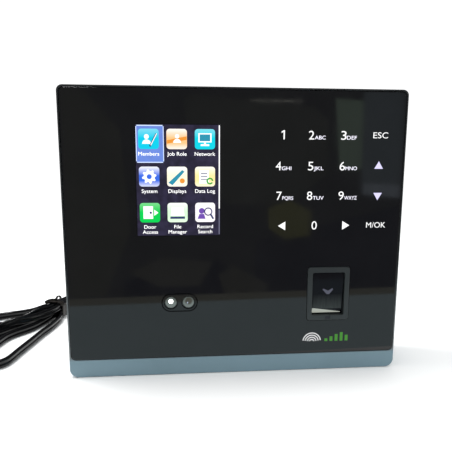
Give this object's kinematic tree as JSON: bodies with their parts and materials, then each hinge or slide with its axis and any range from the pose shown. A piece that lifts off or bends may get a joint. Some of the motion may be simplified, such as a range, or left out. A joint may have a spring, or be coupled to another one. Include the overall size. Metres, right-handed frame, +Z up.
{
  "type": "fingerprint scanner terminal",
  "caption": "Upright wall or desk access terminal: gloss panel with colour screen, touch keys, camera window and fingerprint sensor, rear wall plate and tied power lead.",
  "frame": {"origin": "middle of the bottom of the terminal's own box, cord left out, on the surface it stands on", "axes": "+X to the terminal's right as its user sees it (its length), -Y out of its front, +Z up"},
  "size_m": [0.2771, 0.1586, 0.154],
  "materials": {
    "housing": "fine satin texture, blue-grey",
    "panel": "polished black, back-printed",
    "display": "lit colour screen",
    "camera_trim": "polished",
    "lens": "frosted and clear lens",
    "prism_glass": "polished",
    "bezel": "fine satin",
    "black_moulding": "satin",
    "foam_tape": "closed-cell foam",
    "white_moulding": "translucent satin",
    "ribbon": "polyimide film",
    "circuit_board": "solder mask",
    "plated_steel": "tin plated",
    "fastener_steel": "zinc plated",
    "plate_steel": "zinc-coated sheet",
    "relay_case": "moulded",
    "terminal_plastic": "moulded",
    "capacitor_sleeve": "shrink sleeve",
    "cover_rubber": "matt",
    "cord_jacket": "satin PVC",
    "tie_jacket": "plastic-coated wire",
    "pin_metal": "nickel plated"
  },
  "bodies": {
    "terminal": {"front_housing": "housing", "front_panel": "panel", "panel_tape": "foam_tape", "display_glass": "display", "display_tray": "white_moulding", "display_ribbon": "ribbon", "touch_board": "circuit_board", "key_light_guide": "white_moulding", "camera_window": "camera_trim", "lamp_lens": "lens", "camera_lens": "lens", "camera_holder": "black_moulding", "camera_board": "circuit_board", "sensor_bezel": "bezel", "sensor_prism": "prism_glass", "sensor_case": "black_moulding", "sensor_board": "circuit_board", "card_antenna": "circuit_board", "main_board": "circuit_board", "processor_shield": "plated_steel", "battery_holder": "black_moulding", "backup_battery": "plated_steel", "door_relay": "relay_case", "filter_capacitor_1": "capacitor_sleeve", "filter_capacitor_2": "capacitor_sleeve", "network_jack": "plated_steel", "terminal_block_left": "terminal_plastic", "terminal_block_right": "terminal_plastic", "power_socket": "black_moulding", "usb_socket": "plated_steel", "reset_switch": "black_moulding", "tamper_switch": "black_moulding", "speaker": "black_moulding", "speaker_gasket": "foam_tape", "rear_housing": "housing", "case_screw_1": "fastener_steel", "case_screw_2": "fastener_steel", "case_screw_3": "fastener_steel", "case_screw_4": "fastener_steel", "board_screw_1": "fastener_steel", "board_screw_2": "fastener_steel", "board_screw_3": "fastener_steel", "board_screw_4": "fastener_steel", "power_plug": "black_moulding", "plug_strain_relief": "cord_jacket", "cord_lead": "cord_jacket", "cord_tail": "cord_jacket", "cord_hank": "cord_jacket", "cord_tie": "tie_jacket", "power_adapter": "black_moulding", "adapter_pin_near": "pin_metal", "adapter_pin_far": "pin_metal"},
    "usb_flap": {"usb_cover": "cover_rubber"},
    "reset_cap": {"reset_button": "white_moulding"},
    "tamper_rod": {"tamper_plunger": "white_moulding"},
    "plate": {"wall_plate": "plate_steel", "lock_screw": "fastener_steel"}
  },
  "joints": [
    {"name": "usb_cover_hinge", "type": "hinge", "parent": "terminal", "child": "usb_flap", "pos_m": [0.0899, 0.009, 0.1045], "axis": [0, 0, 1], "range_deg": [0, 95]},
    {"name": "reset_press", "type": "slide", "parent": "terminal", "child": "reset_cap", "axis": [0, -1, 0], "range_m": [0, 0.0005], "stiffness_N_per_m": 300},
    {"name": "tamper_press", "type": "slide", "parent": "terminal", "child": "tamper_rod", "axis": [0, -1, 0], "range_m": [0, 0.0015], "stiffness_N_per_m": 200},
    {"name": "plate_release", "type": "slide", "parent": "terminal", "child": "plate", "axis": [0, 0, -1], "range_m": [0, 0.005]}
  ]
}
